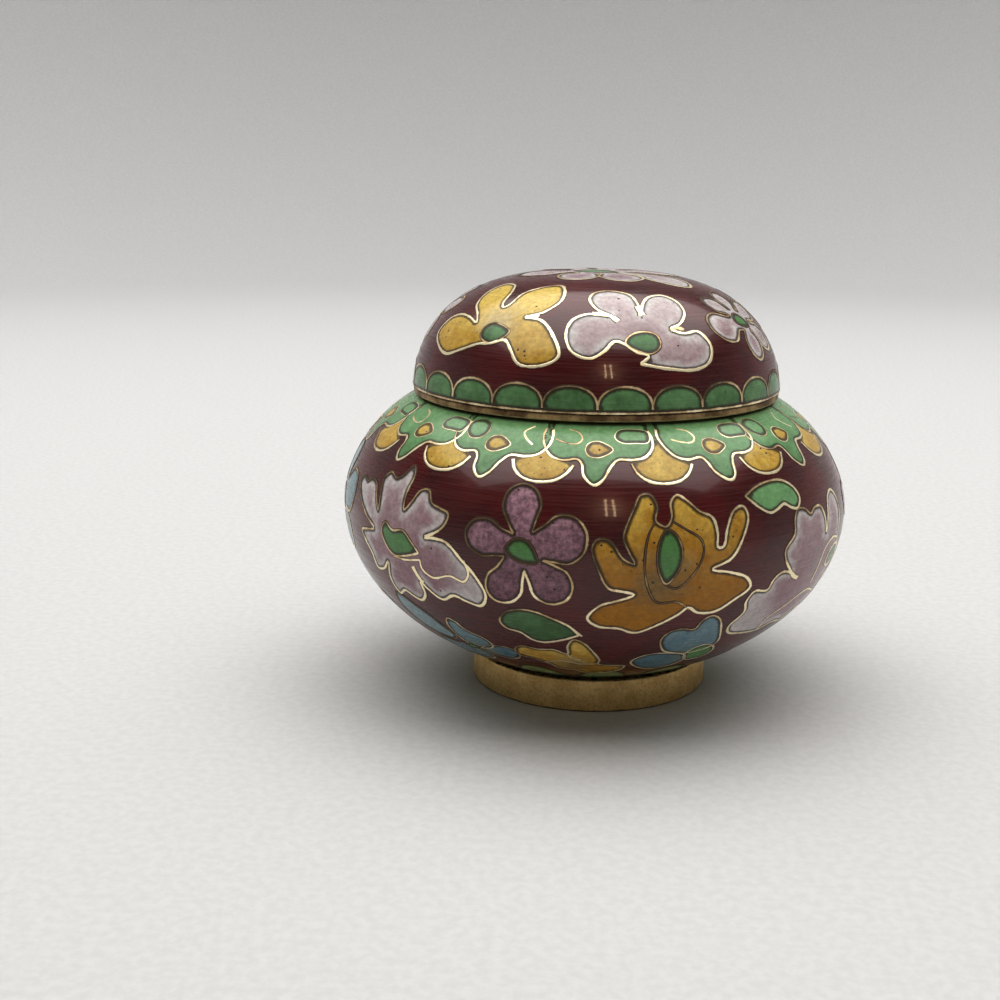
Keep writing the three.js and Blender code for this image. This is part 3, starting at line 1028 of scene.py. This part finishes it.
def build_ring(node, inner, outer, low, high, fillet, material):
    bundle = Bundle()
    revolved(bundle, rounded([(inner, low), (outer, low), (outer, high), (inner, high)], fillet), True)
    ring = bundle.build(f"{node}_brass", [material], "brass")
    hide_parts(node)


def build_brass():
    dark = (0.1, 0.055, 0.03)
    pale = (0.62, 0.48, 0.3)
    foot_tones = (0.74, 0.54, 0.25), (0.62, 0.43, 0.18)
    rim_tones = (0.46, 0.33, 0.17), (0.16, 0.095, 0.05)
    # The foot's and the rim's dark bands above their heights are grime with painted shade of the joint.
    foot = worn_brass("foot_brass", *foot_tones, 0.66, FOOT_HEIGHT - 0.05, 0.12, dark)
    rim = worn_brass("rim_brass", *rim_tones, 0.62, COLLAR_TOP, SEAT_HEIGHT + 0.1, pale)
    build_ring("foot_ring", FOOT_RADIUS - FOOT_WALL, FOOT_RADIUS, 0, FOOT_HEIGHT, FOOT_FILLET, foot)
    build_ring("neck_collar", MOUTH_RADIUS, COLLAR_RADIUS, SEAT_HEIGHT, COLLAR_TOP, THIN_FILLET, rim)
    build_ring("lid_rim", RIM_INNER_RADIUS, RIM_RADIUS, SEAT_HEIGHT, LID_BASE, THIN_FILLET, rim)


# Stage, light and camera. The camera's angles are in radians, and its focal length is a share of the
# sensor's width.

CAMERA_DISTANCE = 190.45
CAMERA_HEIGHT = 68.27
CAMERA_YAW = -0.0630
CAMERA_PITCH = 0.2326
CAMERA_ROLL = 0.0105
FOCAL_SHARE = 1.50116
SENSOR = 36.0


def place_camera():
    data = bpy.data.cameras.new("camera")
    data.sensor_width = SENSOR
    data.lens = SENSOR * FOCAL_SHARE
    data.clip_start = 0.01
    data.clip_end = 20
    camera = add_object("camera", data)
    yaw = Matrix.Rotation(-CAMERA_YAW, 4, "Z")
    pitch = Matrix.Rotation(math.pi / 2 - CAMERA_PITCH, 4, "X")
    roll = Matrix.Rotation(CAMERA_ROLL, 4, "Z")
    place = Vector((0, -CAMERA_DISTANCE, CAMERA_HEIGHT)) * MILLIMETRE
    camera.matrix_world = Matrix.Translation(place) @ yaw @ pitch @ roll
    bpy.context.scene.camera = camera


def build_stage():
    """A pale floor that sweeps up into a backdrop all round, far outside every view's camera, in metres."""
    reach, bend, top, steps, sides = 0.55, 0.25, 0.75, 12, 96
    profile = [(0.5 * reach, 0.0), (reach, 0.0)]
    for step in range(1, steps + 1):
        turn = math.pi / 2 * step / steps
        profile.append((reach + bend * math.sin(turn), bend - bend * math.cos(turn)))
    profile.append((reach + bend, top))
    points = [(*polar(360 * k / sides, r), z) for r, z in profile for k in range(sides)]
    faces = [list(range(sides))]
    for i in range(len(profile) - 1):
        for k in range(sides):
            m = (k + 1) % sides
            faces.append([i * sides + m, i * sides + k, (i + 1) * sides + k, (i + 1) * sides + m])
    mesh = bpy.data.meshes.new("floor")
    mesh.from_pydata(points, [], faces)
    mesh.materials.append(pale_floor())
    mesh.shade_smooth()
    floor = add_object("floor", mesh)


def area_light(name, place, aim, width, height, watts, tint, spread):
    """A soft box that shines towards a place, within a spread in degrees."""
    data = bpy.data.lights.new(name, "AREA")
    data.shape = "RECTANGLE"
    data.size = width
    data.size_y = height
    data.energy = watts
    data.color = tint
    data.spread = math.radians(spread)
    lamp = add_object(name, data)
    lamp.location = place
    lamp.rotation_euler = (Vector(aim) - Vector(place)).to_track_quat("-Z", "Y").to_euler()


def light_scene():
    world = bpy.data.worlds.new("studio")
    world.use_nodes = True
    background = world.node_tree.nodes["Background"]
    background.inputs["Color"].default_value = (0.95, 0.97, 1.0, 1.0)
    background.inputs["Strength"].default_value = 0.13
    bpy.context.scene.world = world
    bpy.context.scene.view_settings.view_transform = "Standard"
    bpy.context.scene.view_settings.gamma = 0.8
    middle = (0, 0, 0.03)
    area_light("overhead", (0, 0.13, 0.6), (0, 0.13, 0), 1.2, 0.9, 6.4, (1.0, 0.99, 0.97), 140)
    for side in (-1, 1):
        place = (0.062 + side * 0.014, -0.4, 0.335)
        area_light(f"lamp_{side + 2}", place, middle, 0.008, 0.12, 0.07, (1.0, 0.78, 0.5), 180)


body_wall = build_vessel()
lid_wall = build_lid()
build_brass()
body_picture = Picture("body")
draw_motifs(body_picture, body_wall, BODY_MOTIFS)
draw_collar(body_picture, body_wall)
scallops(body_picture, body_wall, count=15, first_turn=5.5, base=0.8, height=7.4, polish=0.0)
body_picture.build()
lid_picture = Picture("lid")
scallops(lid_picture, lid_wall, count=23, first_turn=8.7, base=0.17, height=3.0, polish=0.45)
draw_motifs(lid_picture, lid_wall, LID_MOTIFS)
crown_rosette(lid_picture, on_crown(lid_wall))
lid_picture.build()
build_stage()
light_scene()
place_camera()
